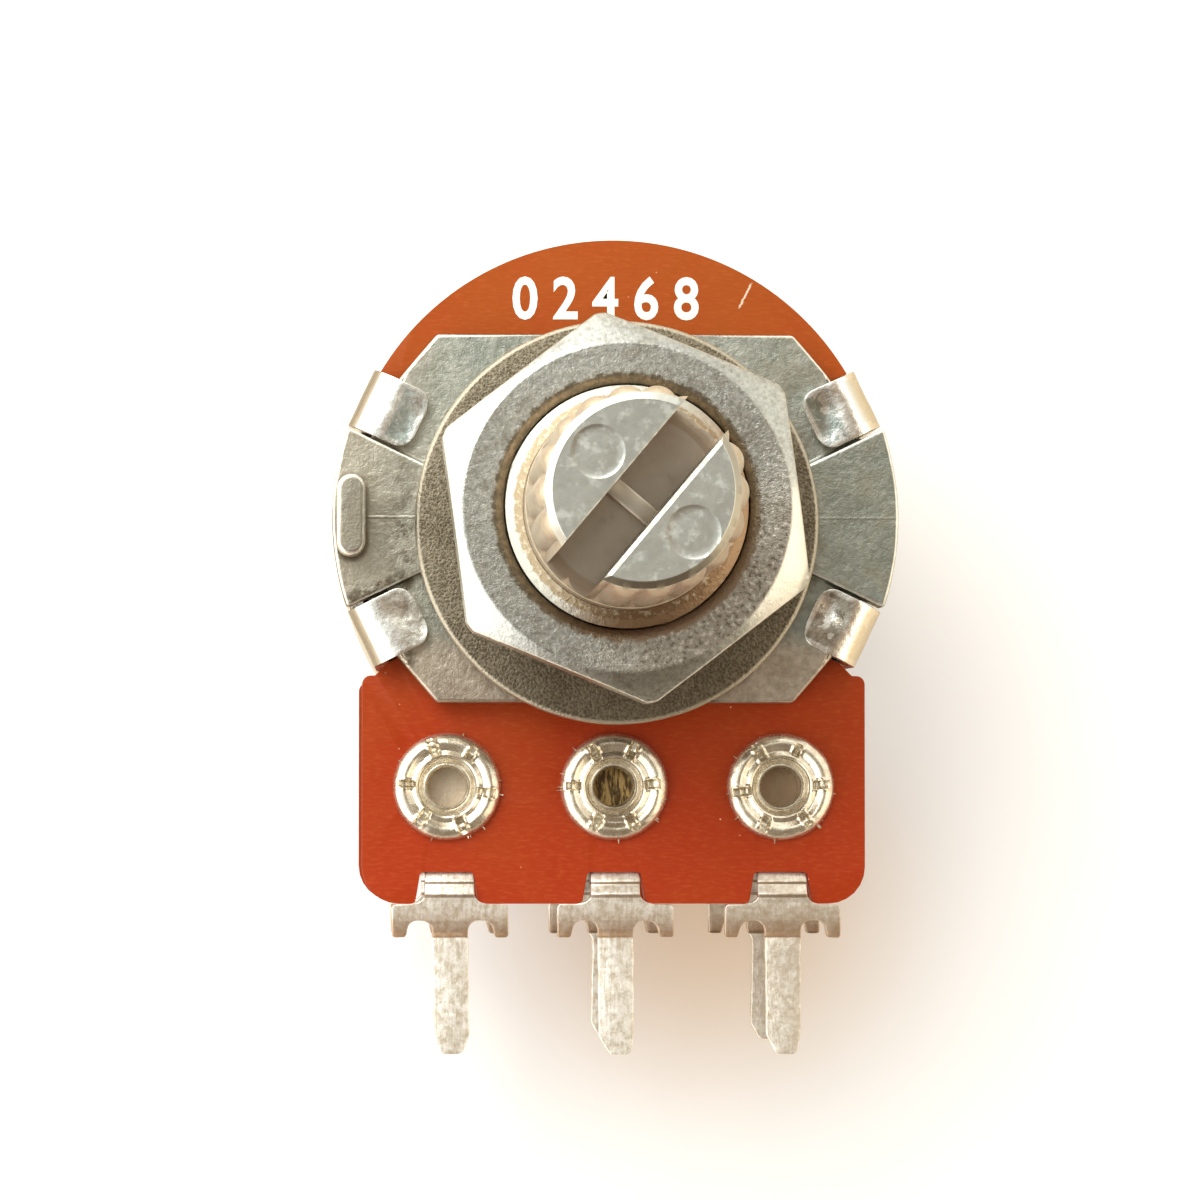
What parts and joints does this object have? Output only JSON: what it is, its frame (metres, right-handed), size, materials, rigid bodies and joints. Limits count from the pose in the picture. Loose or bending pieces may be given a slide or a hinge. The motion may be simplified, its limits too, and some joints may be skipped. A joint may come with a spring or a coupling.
{
  "type": "dual-gang rotary potentiometer",
  "caption": "Dual-gang rotary potentiometer with threaded bushing, hex nut, washer, knurled slotted shaft, phenolic wafers and in-line pins.",
  "frame": {"origin": "on the shaft axis at the mounting face, the front of the cast plate", "axes": "+Z along the shaft towards its tip, terminals towards -Y, locating lug towards -X"},
  "size_m": [0.0168, 0.0244, 0.0315],
  "materials": {
    "zinc": "die-cast zinc, mottled grey",
    "plated_nut": "bright plating, scratched",
    "washer_steel": "coarse grained dark steel",
    "phenolic": "glossy orange-brown phenolic sheet",
    "black_plastic": "moulded, matt",
    "tinned_cover": "tinned sheet steel",
    "shaft_metal": "cast metal, greasy in the knurl",
    "spring_steel": "satin",
    "contact_bronze": "satin",
    "eyelet_tin": "bright tinned brass",
    "terminal_tin": "bright tinned brass, scuffed"
  },
  "bodies": {
    "body": {"front_housing": "zinc", "washer": "washer_steel", "front_wafer": "phenolic", "middle_housing": "black_plastic", "rear_wafer": "phenolic", "rear_cover": "tinned_cover", "front_eyelet_left": "eyelet_tin", "front_terminal_left": "terminal_tin", "front_eyelet_middle": "eyelet_tin", "front_terminal_middle": "terminal_tin", "front_eyelet_right": "eyelet_tin", "front_terminal_right": "terminal_tin", "rear_eyelet_left": "eyelet_tin", "rear_terminal_left": "terminal_tin", "rear_eyelet_middle": "eyelet_tin", "rear_terminal_middle": "terminal_tin", "rear_eyelet_right": "eyelet_tin", "rear_terminal_right": "terminal_tin"},
    "spindle": {"shaft": "shaft_metal", "retaining_clip": "spring_steel", "front_rotor": "black_plastic", "front_wiper": "contact_bronze", "rear_rotor": "black_plastic", "rear_wiper": "contact_bronze"},
    "nut": {"hex_nut": "plated_nut"}
  },
  "joints": [
    {"name": "shaft_turn", "type": "hinge", "parent": "body", "child": "spindle", "pos_m": [0, 0, 0], "axis": [0, 0, 1], "range_deg": [-290, 10]},
    {"name": "nut_travel", "type": "slide", "parent": "body", "child": "nut", "axis": [0, 0, 1], "range_m": [-0.0036, 0.0012]}
  ]
}
